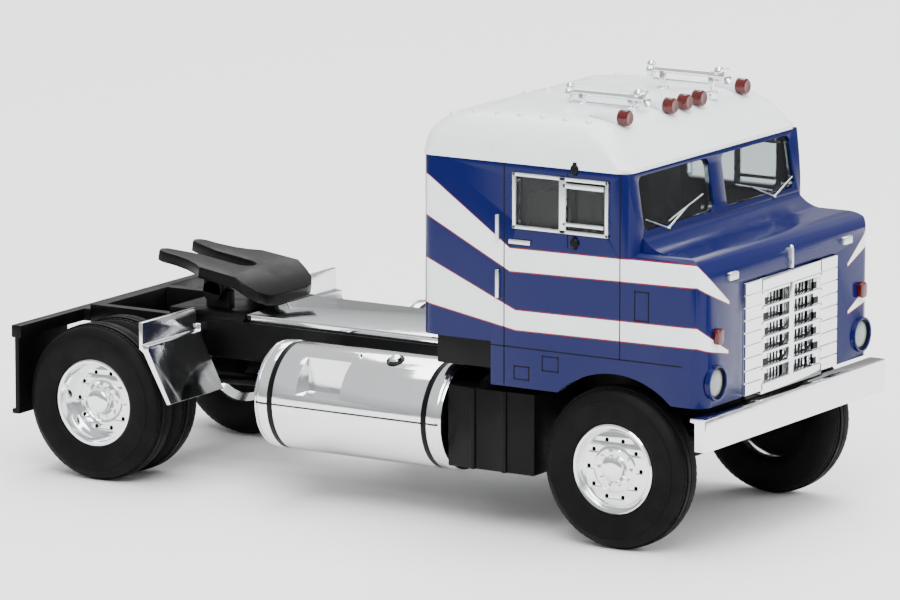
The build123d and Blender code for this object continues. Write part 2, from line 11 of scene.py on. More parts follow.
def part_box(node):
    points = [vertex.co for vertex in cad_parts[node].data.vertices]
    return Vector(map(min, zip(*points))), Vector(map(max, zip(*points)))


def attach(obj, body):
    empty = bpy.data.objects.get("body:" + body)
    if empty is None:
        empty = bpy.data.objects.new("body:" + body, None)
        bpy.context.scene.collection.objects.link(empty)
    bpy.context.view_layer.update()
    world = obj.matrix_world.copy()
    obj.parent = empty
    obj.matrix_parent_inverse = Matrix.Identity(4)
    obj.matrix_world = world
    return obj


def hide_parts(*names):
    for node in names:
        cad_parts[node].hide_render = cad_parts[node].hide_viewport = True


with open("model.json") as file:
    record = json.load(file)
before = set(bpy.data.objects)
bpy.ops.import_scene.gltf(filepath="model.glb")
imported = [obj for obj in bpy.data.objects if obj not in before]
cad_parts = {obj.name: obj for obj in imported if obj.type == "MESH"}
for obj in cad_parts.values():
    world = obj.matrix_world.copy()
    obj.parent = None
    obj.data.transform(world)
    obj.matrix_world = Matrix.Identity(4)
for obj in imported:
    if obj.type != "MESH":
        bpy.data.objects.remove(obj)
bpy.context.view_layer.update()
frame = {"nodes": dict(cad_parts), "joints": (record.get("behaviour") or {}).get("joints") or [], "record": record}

bl_info = {
    "name": "Model tractor unit finish",
    "version": (1, 0, 0),
    "blender": (4, 5, 0),
    "location": "View3D > Sidebar > Tractor",
    "description": "Finishes a packed model of a cab-over tractor unit and sets its studio stage",
    "category": "Object",
}

MM = 0.001
NODES = frame["nodes"]
JOINTS = {joint["name"]: joint for joint in frame["joints"]}
FRONT_AXLE = Vector(JOINTS["front_axle_roll"]["pos_m"]) / MM
REAR_AXLE = Vector(JOINTS["rear_axle_roll"]["pos_m"]) / MM
SLOT_OF = {row["node"]: row["material_slot"] for row in frame["record"]["subparts"]}
BODY_OF = {"front_axle_pin": "front_wheels", "rear_axle_pin": "rear_wheels"}
SIDES = (-1, 1)


def box_mm(node):
    low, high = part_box(node)
    return Vector(low) / MM, Vector(high) / MM


CAB_HIGH = box_mm("cab_body")[1]
ROOF_LOW, ROOF_HIGH = box_mm("cab_roof")
TYRE_WIDTH = 3.1
TWIN_GAP = 0.35
FRONT_FACE = box_mm("front_tyres")[1].y
REAR_FACE = box_mm("rear_tyres")[1].y
TWIN_FACE = REAR_FACE - TYRE_WIDTH - TWIN_GAP


def span(side, first, second):
    """The lower and the higher y of two distances from the middle on one side."""
    return sorted((side * first, side * second))


# Small helpers for materials
def linear(code, alpha=1.0):
    """A colour written as sRGB hex, turned to linear light."""
    def channel(text):
        value = int(text, 16) / 255
        return value / 12.92 if value <= 0.04045 else ((value + 0.055) / 1.055) ** 2.4
    return (*(channel(code[i:i + 2]) for i in (1, 3, 5)), alpha)


def feed(tree, node, inputs):
    """Give a node's sockets their values or links."""
    for key, value in inputs.items():
        if isinstance(value, bpy.types.NodeSocket):
            tree.links.new(value, node.inputs[key])
        else:
            node.inputs[key].default_value = value


def add(tree, kind, inputs=None, **settings):
    """Add a node with its own settings and its sockets' values or links."""
    node = tree.nodes.new(kind)
    for key, value in settings.items():
        setattr(node, key, value)
    feed(tree, node, inputs or {})
    return node


def new_material(name):
    """An empty node material with its output, shader and object coordinates."""
    material = bpy.data.materials.new(name)
    material.use_nodes = True
    tree = material.node_tree
    tree.nodes.clear()
    shader = add(tree, "ShaderNodeBsdfPrincipled")
    add(tree, "ShaderNodeOutputMaterial", {"Surface": shader.outputs[0]})
    coords = add(tree, "ShaderNodeTexCoord").outputs["Object"]
    return material, tree, shader, coords


def speckle(tree, coords, size_mm):
    """Noise whose grains are about size_mm across."""
    return add(tree, "ShaderNodeTexNoise", {
        "Vector": coords, "Scale": 1 / (size_mm * MM), "Detail": 3.0, "Roughness": 0.5,
    }).outputs[0]


def bump(tree, height, depth_mm):
    return add(tree, "ShaderNodeBump", {
        "Height": height, "Distance": depth_mm * MM, "Strength": 1.0,
    }).outputs[0]


def spread(tree, value, low, high):
    """Map a noise value of about 0.3 to 0.7 onto low to high."""
    return add(tree, "ShaderNodeMapRange", {
        "Value": value, "From Min": 0.3, "From Max": 0.7, "To Min": low, "To Max": high,
    }).outputs[0]


def mix_colour(tree, factor, first, second):
    return add(tree, "ShaderNodeMix", {0: factor, 6: first, 7: second}, data_type="RGBA").outputs[2]


def sums(tree, operation, *values):
    return add(tree, "ShaderNodeMath", dict(enumerate(values)), operation=operation).outputs[0]


# Finishes
def uneven(tree, coords, code, tone, roughness, grain):
    """Colour, roughness and normal that vary by noises of real sizes, for a shader's inputs.

    tone is (size in mm, most of the darker colour, that colour's brightness), roughness is (size in mm,
    low, high), and grain is (size in mm, depth in mm).
    """
    base = linear(code)
    darker = tuple(c * tone[2] for c in base[:3]) + (1.0,)
    shade = spread(tree, speckle(tree, coords, tone[0]), 0.0, tone[1])
    return {
        "Base Color": mix_colour(tree, shade, base, darker),
        "Roughness": spread(tree, speckle(tree, coords, roughness[0]), *roughness[1:]),
        "Normal": bump(tree, speckle(tree, coords, grain[0]), grain[1]),
    }


def moulded_plastic(name, code, roughness, grain_mm, grain_depth_mm, gloss=0.5):
    """Injection-moulded ABS: an even colour under a slightly uneven moulded skin."""
    material, tree, shader, coords = new_material(name)
    feed(tree, shader, {
        **uneven(tree, coords, code, (6.0, 0.18, 0.8), (1.6, roughness * 0.85, roughness * 1.2),
                 (grain_mm, grain_depth_mm)),
        "IOR": 1.52, "Specular IOR Level": gloss})
    return material


def plated_plastic(name, code, roughness, ripple_mm, ripple_depth_mm):
    """Vacuum-plated ABS: a mirror finish with the soft ripple of the plastic below it."""
    material, tree, shader, coords = new_material(name)
    feed(tree, shader, {
        **uneven(tree, coords, code, (2.5, 0.25, 0.82), (0.9, roughness * 0.7, roughness * 1.5),
                 (ripple_mm, ripple_depth_mm)),
        "Metallic": 1.0})
    return material


def clear_plastic(name, code, roughness):
    """Clear polystyrene glazing, faintly smoked."""
    material, tree, shader, coords = new_material(name)
    feed(tree, shader, {
        "Base Color": linear(code), "Transmission Weight": 1.0, "IOR": 1.3,
        "Roughness": spread(tree, speckle(tree, coords, 3.0), roughness * 0.5, roughness * 1.5)})
    return material


def edge_line(tree, along, points):
    """Height of a line through (along, height) points in mm, as a sum of clamped ramps."""
    total = points[0][1] * MM
    for (x0, z0), (x1, z1) in zip(points, points[1:]):
        rise = add(tree, "ShaderNodeMapRange", {
            "Value": along, "From Min": x0 * MM, "From Max": x1 * MM, "To Min": 0.0, "To Max": (z1 - z0) * MM,
        }).outputs[0]
        total = sums(tree, "ADD", rise, total)
    return total


# Stripes as (distance along the side and round the nose, height) in mm, upper edge then lower edge
STRIPES = (
    (((6.6, 27.4), (13.95, 22.35), (30.4, 22.5), (34.75, 19.35)),
     ((6.6, 24.25), (13.95, 20.6), (30.4, 20.87), (34.75, 19.15))),
    (((6.6, 20.9), (14.45, 17.6), (30.4, 17.75), (34.65, 15.6)),
     ((6.6, 17.45), (14.45, 16.1), (30.4, 16.25), (34.65, 15.4))),
)
STRIPE_EDGE = 0.1
# How far in from the side and from the nose the print still counts as on the skin
SIDE_SKIN, NOSE_SKIN = 0.3, 2.2


def striped_plastic(name, blue, white, red):
    """Glossy blue ABS with two pad-printed white stripes, each with a thin red outline."""
    material = moulded_plastic(name, blue, 0.2, 0.9, 0.002, 0.2)
    tree = material.node_tree
    shader = next(node for node in tree.nodes if node.type == "BSDF_PRINCIPLED")
    coords = next(node for node in tree.nodes if node.type == "TEX_COORD").outputs["Object"]

    def op(kind, *values):
        return sums(tree, kind, *values)
    x, y, z = add(tree, "ShaderNodeSeparateXYZ", {0: coords}).outputs
    out = op("ABSOLUTE", y)
    along = op("ADD", x, op("SUBTRACT", CAB_HIGH.y * MM, out))
    on_skin = op("MAXIMUM", op("GREATER_THAN", out, (CAB_HIGH.y - SIDE_SKIN) * MM),
                 op("GREATER_THAN", x, (CAB_HIGH.x - NOSE_SKIN) * MM))
    parts = {0.0: 0.0, STRIPE_EDGE * MM: 0.0}
    for upper, lower in STRIPES:
        top, bottom = edge_line(tree, along, upper), edge_line(tree, along, lower)
        for margin in parts:
            band = on_skin
            for limit in (op("LESS_THAN", z, op("ADD", top, margin)),
                          op("GREATER_THAN", z, op("SUBTRACT", bottom, margin)),
                          op("GREATER_THAN", along, upper[0][0] * MM - margin),
                          op("LESS_THAN", along, upper[-1][0] * MM + margin)):
                band = op("MULTIPLY", limit, band)
            parts[margin] = op("MAXIMUM", band, parts[margin])
    colour = shader.inputs["Base Color"].links[0].from_socket
    for part, code in zip(reversed(parts.values()), (red, white)):
        colour = mix_colour(tree, part, colour, linear(code))
    feed(tree, shader, {"Base Color": colour})
    return material


# Name, colour, roughness, grain size and depth in mm, and gloss. Moulded skins give soft broad
# highlights, sharper on the blue and the lamps and almost none on the tyres. Plated parts mirror the
# room with a slight ripple, silver ink only blurs it, and the glazing is clear with a grey cast.
FINISHES = {
    "blue_shell": lambda: striped_plastic("abs_gloss_blue", "#040C47", "#E9EDF0", "#701522"),
    "white_shell": lambda: moulded_plastic("abs_gloss_white", "#E9EDEF", 0.3, 0.9, 0.002),
    "black_chassis": lambda: moulded_plastic("abs_satin_black", "#050506", 0.4, 0.35, 0.006, 0.12),
    "grey_interior": lambda: moulded_plastic("abs_matt_grey", "#2E3032", 0.6, 0.35, 0.006, 0.3),
    "chrome_plate": lambda: plated_plastic("plated_abs", "#F0F1F3", 0.1, 1.8, 0.01),
    "silver_print": lambda: plated_plastic("silver_ink", "#DADDDF", 0.3, 0.4, 0.004),
    "clear": lambda: clear_plastic("clear_styrene", "#C4CACC", 0.03),
    "lamp_clear": lambda: moulded_plastic("lamp_grey", "#85898B", 0.15, 0.5, 0.004),
    "lamp_red": lambda: moulded_plastic("lamp_red", "#4A0805", 0.12, 0.5, 0.004),
    "tyre_rubber": lambda: moulded_plastic("soft_black_vinyl", "#070708", 0.6, 0.3, 0.01, 0.1),
    "axle_steel": lambda: plated_plastic("drawn_steel_wire", "#B0B0B0", 0.3, 0.3, 0.003),
}
MADE = {}


def finish(slot):
    """The finish of a material slot, made once."""
    if slot not in MADE:
        MADE[slot] = FINISHES[slot]()
    return MADE[slot]


# Small helpers for meshes, which are drawn in millimetres
def keep_piece(name, mesh, body, slot, *replaced, angle=30):
    """Give a mesh in metres its finish and shading, and let it ride on its body."""
    mesh.materials.clear()
    mesh.materials.append(finish(slot))
    mesh.shade_smooth()
    mesh.set_sharp_from_angle(angle=math.radians(angle))
    piece = bpy.data.objects.new(name, mesh)
    bpy.context.scene.collection.objects.link(piece)
    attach(piece, body)
    if replaced:
        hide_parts(*replaced)
    return piece


def drawn_piece(name, bm, body, slot, *replaced, angle=30):
    """Turn a mesh drawn in millimetres into a finished piece."""
    bmesh.ops.remove_doubles(bm, verts=bm.verts, dist=0.002)
    bmesh.ops.recalc_face_normals(bm, faces=bm.faces)
    bmesh.ops.scale(bm, vec=(MM, MM, MM), verts=bm.verts)
    mesh = bpy.data.meshes.new(name)
    bm.to_mesh(mesh)
    bm.free()
    return keep_piece(name, mesh, body, slot, *replaced, angle=angle)


def evaluated(mesh, name, kind, settings):
    """The plain mesh that one modifier makes of a mesh."""
    holder = bpy.data.objects.new(name, mesh)
    bpy.context.scene.collection.objects.link(holder)
    modifier = holder.modifiers.new(name, kind)
    settings(modifier)
    graph = bpy.context.evaluated_depsgraph_get()
    result = bpy.data.meshes.new_from_object(holder.evaluated_get(graph), depsgraph=graph)
    bpy.data.objects.remove(holder)
    return result


def rounded(mesh, width, steps):
    """Round the edges of a mesh that turn by more than 35 degrees."""
    def settings(modifier):
        modifier.width = width
        modifier.segments = steps
        modifier.limit_method = "ANGLE"
        modifier.angle_limit = math.radians(35)
        modifier.miter_outer = "MITER_ARC"
    return evaluated(mesh, "rounded", "BEVEL", settings)


def moulded(node, edge_mm, steps=2, angle=30):
    """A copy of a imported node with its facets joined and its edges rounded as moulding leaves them."""
    bm = bmesh.new()
    bm.from_mesh(NODES[node].data)
    bmesh.ops.remove_doubles(bm, verts=bm.verts, dist=0.001 * MM)
    bmesh.ops.dissolve_degenerate(bm, edges=bm.edges, dist=0.001 * MM)
    bmesh.ops.dissolve_limit(bm, angle_limit=math.radians(0.5), verts=bm.verts, edges=bm.edges)
    mesh = bpy.data.meshes.new(node + "_form")
    bm.to_mesh(mesh)
    bm.free()
    mesh = rounded(mesh, edge_mm * MM, steps)
    return keep_piece(node + "_moulded", mesh, BODY_OF.get(node, "truck"), SLOT_OF[node], node, angle=angle)


def along_axis(origin, axis):
    return Matrix.Translation(Vector(origin)) @ Vector(axis).to_track_quat("Z", "Y").to_matrix().to_4x4()


def lathe(bm, rows, origin, axis=(0, 1, 0), turns=64, loop=False):
    """Turn rows of (radius, distance along the axis) about an axis through the origin."""
    place = along_axis(origin, axis)
    rings = []
    for radius, along in rows:
        count = turns if radius else 1
        rings.append([bm.verts.new(place @ Vector((radius * math.cos(k * math.tau / turns),
                                                   radius * math.sin(k * math.tau / turns), along)))
                      for k in range(count)])
    pairs = list(zip(rings, rings[1:]))
    if loop:
        pairs.append((rings[-1], rings[0]))
    for first, second in pairs:
        if len(first) == len(second) == 1:
            continue
        for k in range(turns):
            corners = []
            for corner in (first[k % len(first)], first[(k + 1) % len(first)],
                           second[(k + 1) % len(second)], second[k % len(second)]):
                if corner not in corners:
                    corners.append(corner)
            bm.faces.new(corners)


def tube(bm, path, sides=12):
    """A closed round bar through (x, y, z, radius) points."""
    points = [Vector(p[:3]) for p in path]
    rings = []
    for i, point in enumerate(points):
        ahead = points[min(i + 1, len(points) - 1)] - points[max(i - 1, 0)]
        place = along_axis(point, ahead)
        radius = path[i][3]
        rings.append([bm.verts.new(place @ Vector((radius * math.cos(k * math.tau / sides),
                                                   radius * math.sin(k * math.tau / sides), 0)))
                      for k in range(sides)])
    for first, second in zip(rings, rings[1:]):
        for k in range(sides):
            bm.faces.new((first[k], first[(k + 1) % sides], second[(k + 1) % sides], second[k]))
    bm.faces.new(rings[0])
    bm.faces.new(rings[-1])


def ball(bm, centre, radius):
    place = Matrix.Translation(Vector(centre))
    bmesh.ops.create_uvsphere(bm, u_segments=20, v_segments=12, radius=radius, matrix=place)


def slab(bm, low, high, edge=0.0):
    """A box between two corners with its edges bevelled."""
    low, high = Vector(low), Vector(high)
    size = high - low
    place = Matrix.Translation((low + high) / 2) @ Matrix.Diagonal((*size, 1))
    made = bmesh.ops.create_cube(bm, size=1, matrix=place)["verts"]
    if edge:
        edges = {e for vert in made for e in vert.link_edges}
        bmesh.ops.bevel(bm, geom=list(edges), offset=edge, segments=2, affect="EDGES", profile=0.5)


def stamp(bm, mesh, place):
    """Add a mesh to a drawing, at a place."""
    copy = mesh.copy()
    copy.transform(place)
    bm.from_mesh(copy)
    bpy.data.meshes.remove(copy)


# Geometry trees for what repeats
def new_tree(name, inputs):
    """A geometry tree with its named inputs and its group input node."""
    tree = bpy.data.node_groups.new(name, "GeometryNodeTree")
    tree.interface.new_socket("Geometry", in_out="INPUT", socket_type="NodeSocketGeometry")
    for label, kind in inputs:
        tree.interface.new_socket(label, in_out="INPUT", socket_type=kind)
    tree.interface.new_socket("Geometry", in_out="OUTPUT", socket_type="NodeSocketGeometry")
    return tree, add(tree, "NodeGroupInput")


def close_tree(tree, group, instances):
    """End a tree with its instances made real and given their finish."""
    real = add(tree, "GeometryNodeRealizeInstances", {"Geometry": instances})
    painted = add(tree, "GeometryNodeSetMaterial", {"Geometry": real.outputs[0],
                                                    "Material": group.outputs["Finish"]})
    add(tree, "NodeGroupOutput", {"Geometry": painted.outputs[0]})
    return tree


def ring_tree(name, hexagonal):
    """Blocks or hexagon nuts on a ring about the y axis."""
    tree, group = new_tree(name, [("Count", "NodeSocketInt"), ("Ring radius", "NodeSocketFloat"),
                                  ("Size", "NodeSocketVector"), ("Finish", "NodeSocketMaterial")])
    ring = add(tree, "GeometryNodeMeshCircle", {"Vertices": group.outputs["Count"],
                                                "Radius": group.outputs["Ring radius"]})
    if hexagonal:
        size = add(tree, "ShaderNodeSeparateXYZ", {0: group.outputs["Size"]})
        block = add(tree, "GeometryNodeMeshCylinder", {"Vertices": 6, "Radius": size.outputs["X"],
                                                       "Depth": size.outputs["Z"]})
    else:
        block = add(tree, "GeometryNodeMeshCube", {"Size": group.outputs["Size"]})
    step = sums(tree, "DIVIDE", math.tau, group.outputs["Count"])
    turn = sums(tree, "MULTIPLY", add(tree, "GeometryNodeInputIndex").outputs[0], step)
    facing = add(tree, "ShaderNodeCombineXYZ", {"Z": turn})
    spread_out = add(tree, "GeometryNodeInstanceOnPoints", {
        "Points": ring.outputs["Mesh"], "Instance": block.outputs["Mesh"], "Rotation": facing.outputs[0]})
    turned = add(tree, "GeometryNodeTransform", {"Geometry": spread_out.outputs[0],
                                                 "Rotation": (math.pi / 2, 0, 0)})
    return close_tree(tree, group, turned.outputs[0])


def stud_tree(name):
    """A low dome on each point of the mesh that the tree is given."""
    tree, group = new_tree(name, [("Radius", "NodeSocketFloat"), ("Height", "NodeSocketFloat"),
                                  ("Finish", "NodeSocketMaterial")])
    dome = add(tree, "GeometryNodeMeshUVSphere", {"Segments": 12, "Rings": 8, "Radius": 1.0})
    size = add(tree, "ShaderNodeCombineXYZ", {"X": group.outputs["Radius"], "Y": group.outputs["Radius"],
                                              "Z": group.outputs["Height"]})
    placed = add(tree, "GeometryNodeInstanceOnPoints", {
        "Points": group.outputs["Geometry"], "Instance": dome.outputs["Mesh"], "Scale": size.outputs[0]})
    return close_tree(tree, group, placed.outputs[0])


def slat_tree(name):
    """A row of upright bars along x, as many as the count, a pitch apart."""
    tree, group = new_tree(name, [("Count", "NodeSocketInt"), ("Pitch", "NodeSocketFloat"),
                                  ("Size", "NodeSocketVector"), ("Finish", "NodeSocketMaterial")])
    offset = add(tree, "ShaderNodeCombineXYZ", {"X": group.outputs["Pitch"]})
    line = add(tree, "GeometryNodeMeshLine", {"Count": group.outputs["Count"], "Offset": offset.outputs[0]})
    bar = add(tree, "GeometryNodeMeshCube", {"Size": group.outputs["Size"]})
    placed = add(tree, "GeometryNodeInstanceOnPoints", {"Points": line.outputs["Mesh"],
                                                        "Instance": bar.outputs["Mesh"]})
    return close_tree(tree, group, placed.outputs[0])


def grown(tree, slot, values, points=()):
    """The plain mesh that a geometry tree makes, in millimetres."""
    values = {"Finish": finish(slot), **values}
    base = bpy.data.meshes.new(tree.name)
    base.from_pydata([tuple(point) for point in points], [], [])

    def settings(modifier):
        modifier.node_group = tree
        for item in tree.interface.items_tree:
            if item.in_out == "INPUT" and item.name in values:
                modifier[item.identifier] = values[item.name]
    return evaluated(base, tree.name, "NODES", settings)


def pierced_disc(radius, bore, holes, hole_radius, ring_radius, thickness, edge):
    """A flat disc about the y axis with a bore and a ring of holes, its edges rounded."""
    curve = bpy.data.curves.new("disc", "CURVE")
    curve.dimensions = "2D"
    curve.fill_mode = "BOTH"
    curve.extrude = thickness / 2 - edge
    curve.bevel_depth = edge
    curve.bevel_resolution = 1

    def circle(centre, size, points):
        spline = curve.splines.new("POLY")
        spline.points.add(points - 1)
        for k, point in enumerate(spline.points):
            a = k * math.tau / points
            point.co = (centre[0] + size * math.cos(a), centre[1] + size * math.sin(a), 0, 1)
        spline.use_cyclic_u = True

    circle((0, 0), radius, 72)
    circle((0, 0), bore, 40)
    for k in range(holes):
        a = k * math.tau / holes
        circle((ring_radius * math.cos(a), ring_radius * math.sin(a)), hole_radius, 20)
    holder = bpy.data.objects.new("disc", curve)
    bpy.context.scene.collection.objects.link(holder)
    graph = bpy.context.evaluated_depsgraph_get()
    mesh = bpy.data.meshes.new_from_object(holder.evaluated_get(graph), depsgraph=graph)
    bpy.data.objects.remove(holder)
    mesh.transform(Matrix.Rotation(math.pi / 2, 4, "X"))
    return mesh


# Wheels. Rows are (radius, depth behind the tyre's outer face)
TYRE_ROWS = [
    (3.5, 0.5), (3.52, 0.3), (3.7, 0.17), (3.95, 0.1), (4.6, 0.02), (5.1, 0.0), (5.26, 0.02), (5.3, 0.08),
    (5.42, 0.08), (5.46, 0.1), (5.75, 0.26), (5.98, 0.46), (6.08, 0.64), (6.1, 0.98), (6.25, 1.0),
    (6.25, 1.36), (6.12, 1.38), (6.12, 1.44), (6.27, 1.46), (6.27, 1.64), (6.12, 1.66), (6.12, 1.72),
    (6.25, 1.74), (6.25, 2.1), (6.1, 2.12), (6.08, 2.46), (5.98, 2.64), (5.6, 2.88), (5.0, 3.06),
    (4.4, 3.1), (3.8, 3.0), (3.5, 2.8),
]
BLOCK_RADIUS = 6.06
BLOCK_DEPTHS = (0.8, 2.3)


def draw_tyre(bm, axle, face_y, side, lugs, web_depth):
    def at(depth):
        return side * (face_y - depth)
    centre = (axle.x, 0, axle.z)
    lathe(bm, [(r, at(d)) for r, d in TYRE_ROWS], centre, turns=96, loop=True)
    # the black web behind the rim is painted shade: it stands in for the shaded floor of the rim's pierced
    # recesses, and it closes the tyre's back
    web = [(3.45, web_depth), (0.8, web_depth), (0.8, web_depth + 0.3), (3.45, web_depth + 0.3)]
    lathe(bm, [(r, at(d)) for r, d in web], centre, turns=48, loop=True)
    for depth in BLOCK_DEPTHS:
        stamp(bm, lugs, Matrix.Translation((axle.x, at(depth), axle.z)))


class TRACTOR_OT_tyres(bpy.types.Operator):
    """One-piece tyres with a ribbed tread and shoulder blocks"""
    bl_idname = "tractor.tyres"
    bl_label = "Tyres"

    def execute(self, context):
        props = context.scene.tractor
        lugs = grown(ring_tree("tread_blocks", False), "tyre_rubber", {
            "Count": props.tread_blocks, "Ring radius": BLOCK_RADIUS, "Size": (0.16, 0.42, 0.24)})
        bm = bmesh.new()
        for side in SIDES:
            draw_tyre(bm, FRONT_AXLE, FRONT_FACE, side, lugs, 1.25)
        drawn_piece("front_tyres_rubber", bm, "front_wheels", "tyre_rubber", "front_tyres")
        bm = bmesh.new()
        for side in SIDES:
            draw_tyre(bm, REAR_AXLE, REAR_FACE, side, lugs, 2.3)
            draw_tyre(bm, REAR_AXLE, TWIN_FACE, side, lugs, 1.6)
        drawn_piece("rear_tyres_rubber", bm, "rear_wheels", "tyre_rubber", "rear_tyres")
        return {"FINISHED"}


# Each rim as the outline of its bed and of its hub
FRONT_RIM = (
    [(3.5, 0.42), (3.47, 0.24), (3.36, 0.16), (3.2, 0.2), (3.12, 0.34), (3.06, 0.62),
     (2.92, 0.74), (2.78, 0.78), (2.78, 1.0), (3.0, 1.9), (3.42, 2.4), (3.5, 2.3)],
    [(1.95, 0.72), (1.84, 0.6), (1.62, 0.56), (1.12, 0.52), (1.02, 0.42), (0.92, 0.2),
     (0.78, 0.13), (0.4, 0.1), (0, 0.1), (0, 1.1), (1.95, 1.1)],
)
REAR_RIM = (
    [(3.5, 0.52), (3.47, 0.4), (3.36, 0.36), (3.2, 0.38), (3.14, 0.5), (3.06, 0.95),
     (2.96, 1.05), (2.9, 1.6), (2.78, 1.9), (2.74, 2.2), (3.1, 2.3), (3.5, 2.3)],
    [(1.85, 1.9), (1.75, 1.72), (1.6, 1.62), (1.2, 1.58), (1.1, 1.2), (1.0, 0.9),
     (0.86, 0.8), (0.45, 0.74), (0, 0.74), (0, 2.2), (1.85, 2.2)],
)
TWIN_RIM = [(3.5, 0.5), (3.42, 0.34), (3.25, 0.36), (3.1, 0.8), (2.9, 1.4), (2.9, 2.0), (3.5, 2.4)]


class TRACTOR_OT_rims(bpy.types.Operator):
    """Plated rims: a shallow pierced dish in front, a deep one behind"""
    bl_idname = "tractor.rims"
    bl_label = "Rims"

    def execute(self, context):
        props = context.scene.tractor
        nuts = grown(ring_tree("wheel_nuts", True), "chrome_plate", {
            "Count": props.wheel_nuts, "Ring radius": 1.42, "Size": (0.17, 0.17, 0.3)})
        disc = pierced_disc(2.86, 0.9, 10, 0.2, 2.28, 0.24, 0.05)
        bm = bmesh.new()
        for side in SIDES:
            self.draw_rim(bm, FRONT_AXLE, FRONT_FACE, side, FRONT_RIM, ((disc, 0.75), (nuts, 0.42)))
        drawn_piece("front_rims_plated", bm, "front_wheels", "chrome_plate", "front_rims", angle=38)
        bm = bmesh.new()
        for side in SIDES:
            self.draw_rim(bm, REAR_AXLE, REAR_FACE, side, REAR_RIM, ((disc, 1.95), (nuts, 1.5)))
            self.draw_rim(bm, REAR_AXLE, TWIN_FACE, side, (TWIN_RIM,), ())
        drawn_piece("rear_rims_plated", bm, "rear_wheels", "chrome_plate", "rear_rims", angle=38)
        return {"FINISHED"}

    def draw_rim(self, bm, axle, face_y, side, outlines, details):
        def at(depth):
            return side * (face_y - depth)
        for outline in outlines:
            lathe(bm, [(r, at(d)) for r, d in outline], (axle.x, 0, axle.z), turns=72, loop=True)
        for mesh, depth in details:
            stamp(bm, mesh, Matrix.Translation((axle.x, at(depth), axle.z)))


# Roof. Rows are (height, inset of sides and rear, setback of the front, corner radius)
ROOF_ROWS = [
    (0.0, -0.06, -0.1, 1.25), (0.3, -0.06, -0.1, 1.25), (0.42, 0.0, 0.06, 1.25), (0.7, 0.02, 0.35, 1.3),
    (1.3, 0.1, 0.85, 1.45), (1.9, 0.35, 1.42, 1.6), (2.5, 0.8, 2.1, 1.9), (3.0, 1.5, 2.85, 2.2),
    (3.3, 2.5, 3.7, 2.6), (3.44, 3.8, 5.0, 3.0), (3.5, 6.0, 7.4, 2.6), (3.52, 8.6, 8.9, 0.4),
]
# The first rows are the straight lip over the seam, and the rest are smoothed
SEAM_ROWS = 2
ROOF_INSIDE = [(2.3, 4.0, 5.0, 1.0), (1.6, 1.6, 2.6, 1.0), (0.6, 0.8, 1.2, 0.8), (0.0, 0.8, 0.8, 0.8)]


def between(rows, steps):
    """Add rows between the given ones on a smooth line."""
    out = []
    for i in range(len(rows) - 1):
        before, first = rows[max(i - 1, 0)], rows[i]
        second, after = rows[i + 1], rows[min(i + 2, len(rows) - 1)]
        for s in range(steps):
            t = s / steps
            out.append(tuple(
                0.5 * (2 * b + (c - a) * t + (2 * a - 5 * b + 4 * c - d) * t * t
                       + (3 * b - a - 3 * c + d) * t ** 3)
                for a, b, c, d in zip(before, first, second, after)))
    return out + [rows[-1]]


def roof_ring(bm, height, side_in, front_in, corner):
    x0, x1 = ROOF_LOW.x + side_in, ROOF_HIGH.x - front_in
    half = ROOF_HIGH.y - side_in
    corner = min(corner, (x1 - x0) / 2, half)
    ring = []
    for cx, cy, start in ((x1 - corner, half - corner, 0), (x0 + corner, half - corner, 90),
                          (x0 + corner, corner - half, 180), (x1 - corner, corner - half, 270)):
        for k in range(9):
            a = math.radians(start + k * 90 / 8)
            ring.append(bm.verts.new((cx + corner * math.cos(a), cy + corner * math.sin(a),
                                      ROOF_LOW.z + height)))
    return ring


class TRACTOR_OT_roof(bpy.types.Operator):
    """The bulged roof with its rivets and the tapered housings of its lamps"""
    bl_idname = "tractor.roof"
    bl_label = "Roof"

    def execute(self, context):
        bm = bmesh.new()
        rows = ROOF_ROWS[:SEAM_ROWS] + between(ROOF_ROWS[SEAM_ROWS:], 2)
        rings = [roof_ring(bm, *row) for row in rows]
        inside = [roof_ring(bm, *row) for row in reversed(ROOF_INSIDE)]
        for first, second in [*zip(rings, rings[1:]), *zip(inside, inside[1:]), (rings[0], inside[0])]:
            count = len(first)
            for k in range(count):
                bm.faces.new((first[k], first[(k + 1) % count], second[(k + 1) % count], second[k]))
        bm.faces.new(rings[-1])
        bm.faces.new(inside[-1])
        bmesh.ops.recalc_face_normals(bm, faces=bm.faces)
        self.add_rivets(bm, context.scene.tractor)
        low, high = box_mm("roof_lamps")
        z = (low.z + high.z) / 2 + 0.25
        for y, length, start in lamp_housings(high):
            tube(bm, [(low.x - length, y, z, start), (low.x - length * 0.5, y, z + 0.05, 0.42),
                      (low.x - 0.15, y, z, 0.62), (low.x + 0.12, y, z, 0.66)], sides=20)
        drawn_piece("roof_shell", bm, "truck", "white_shell", "cab_roof", angle=40)
        bm = bmesh.new()
        lens = [(0, -0.1), (0.5, -0.1), (0.58, 0.1), (0.62, 0.2), (0.62, 0.82), (0.5, 0.95), (0.2, 0.93),
                (0, 0.9)]
        for y, _, _ in lamp_housings(high):
            lathe(bm, lens, (low.x, y, z), (1, 0, 0), turns=24)
        drawn_piece("roof_lamp_lenses", bm, "truck", "lamp_red", "roof_lamps")
        return {"FINISHED"}

    def add_rivets(self, bm, props):
        """Three rows of low rivets along the roof, set on its skin from above."""
        first, pitch, above = 1.6, 2.0, 60
        surface = BVHTree.FromBMesh(bm)
        points = []
        for y in (-props.rivet_row, 0.0, props.rivet_row):
            last = ROOF_HIGH.x - (4.6 if y else 6.0)
            for k in range(props.rivet_count):
                x = ROOF_LOW.x + first + k * pitch
                if x <= last:
                    points.append(surface.ray_cast(Vector((x, y, above)), Vector((0, 0, -1)))[0])
        rivets = grown(stud_tree("roof_rivets"), "white_shell", {"Radius": 0.27, "Height": 0.24}, points)
        stamp(bm, rivets, Matrix.Identity(4))


